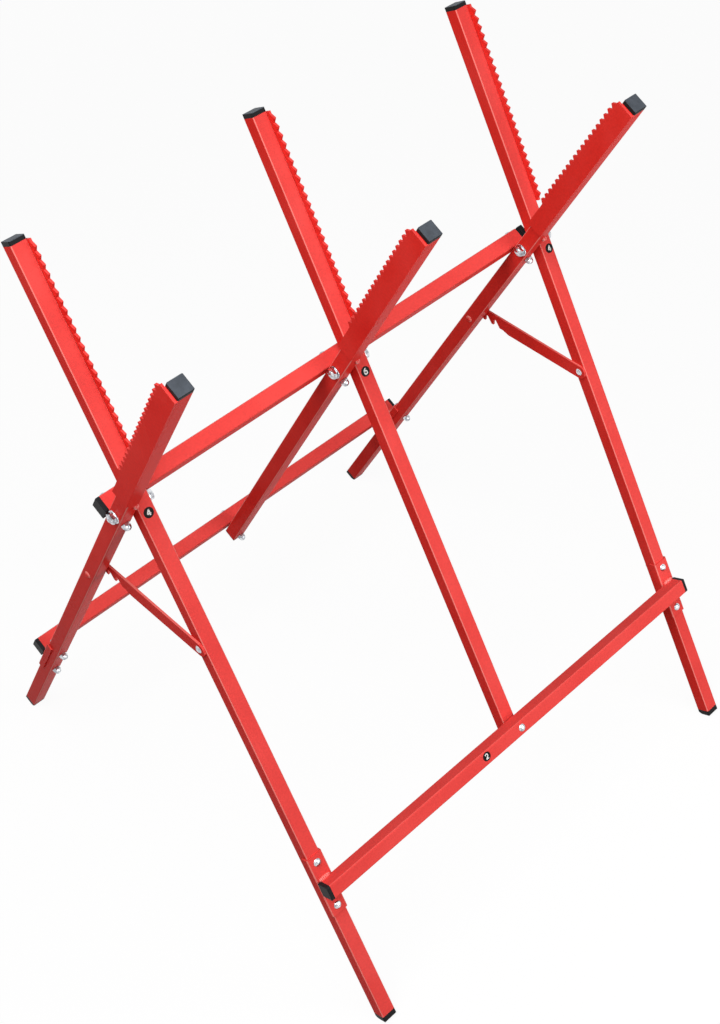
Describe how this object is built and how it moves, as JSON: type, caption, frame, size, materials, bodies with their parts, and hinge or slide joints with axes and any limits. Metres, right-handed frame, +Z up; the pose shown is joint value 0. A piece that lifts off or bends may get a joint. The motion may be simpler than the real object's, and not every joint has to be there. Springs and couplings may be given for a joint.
{
  "type": "log saw stand",
  "caption": "Folding saw horse for logs: red square-tube X-frames with saw-toothed arms, joined by rails, turning on pivot bolts and held open by notched braces.",
  "frame": {"origin": "on the floor, under the middle of the overall box", "axes": "+Z up, +X along the rails to the right, -Y the front"},
  "size_m": [0.7142, 0.7402, 0.951],
  "materials": {
    "red_paint": "glossy bright red powder coat",
    "black_plastic": "black moulded plastic, slightly satin",
    "zinc": "bright zinc plate"
  },
  "bodies": {
    "front_frame": {"front_leg_left": "red_paint", "front_leg_middle": "red_paint", "front_leg_right": "red_paint", "front_teeth_left": "red_paint", "front_teeth_middle": "red_paint", "front_teeth_right": "red_paint", "front_rail": "red_paint", "front_saddle_left": "red_paint", "front_saddle_right": "red_paint", "front_welds": "red_paint", "front_arm_cap_left": "black_plastic", "front_arm_cap_middle": "black_plastic", "front_arm_cap_right": "black_plastic", "front_foot_left": "black_plastic", "front_foot_right": "black_plastic", "front_leg_plug": "black_plastic", "front_rail_caps": "black_plastic", "front_saddle_bolts": "zinc", "front_saddle_nuts": "zinc", "front_middle_bolt": "zinc", "front_middle_nut": "zinc", "front_middle_spacer": "zinc", "pivot_bolts": "zinc", "pivot_nuts": "zinc", "pivot_washers": "zinc", "pivot_spacers": "zinc", "brace_rivets": "zinc"},
    "rear_frame": {"rear_leg_left": "red_paint", "rear_leg_middle": "red_paint", "rear_leg_right": "red_paint", "rear_teeth_left": "red_paint", "rear_teeth_middle": "red_paint", "rear_teeth_right": "red_paint", "rear_rail": "red_paint", "top_rail": "red_paint", "rear_saddle_left": "red_paint", "rear_saddle_right": "red_paint", "rear_welds": "red_paint", "rear_weld_buttons": "red_paint", "rear_arm_cap_left": "black_plastic", "rear_arm_cap_middle": "black_plastic", "rear_arm_cap_right": "black_plastic", "rear_foot_left": "black_plastic", "rear_foot_right": "black_plastic", "rear_leg_plug": "black_plastic", "rear_rail_caps": "black_plastic", "top_rail_caps": "black_plastic", "rear_saddle_bolts": "zinc", "rear_saddle_nuts": "zinc", "rear_middle_bolt": "zinc", "rear_middle_nut": "zinc", "rear_middle_spacer": "zinc", "top_rail_bolts": "zinc", "top_rail_nuts": "zinc", "catch_pins": "red_paint"},
    "brace_left": {"brace_left": "red_paint"},
    "brace_right": {"brace_right": "red_paint"}
  },
  "joints": [
    {"name": "fold", "type": "hinge", "parent": "front_frame", "child": "rear_frame", "pos_m": [0, 0, 0.66751], "axis": [-1, 0, 0], "range_deg": [0, 52]},
    {"name": "brace_left_lift", "type": "hinge", "parent": "front_frame", "child": "brace_left", "pos_m": [-0.32625, -0.09066, 0.50054], "axis": [1, 0, 0], "range_deg": [0, 44.2]},
    {"name": "brace_right_lift", "type": "hinge", "parent": "front_frame", "child": "brace_right", "pos_m": [0.32875, -0.09066, 0.50054], "axis": [1, 0, 0], "range_deg": [0, 44.2]}
  ],
  "couplings": [
    {"joint": "brace_left_lift", "follows": "fold", "ratio": 0.85},
    {"joint": "brace_right_lift", "follows": "fold", "ratio": 0.85}
  ]
}
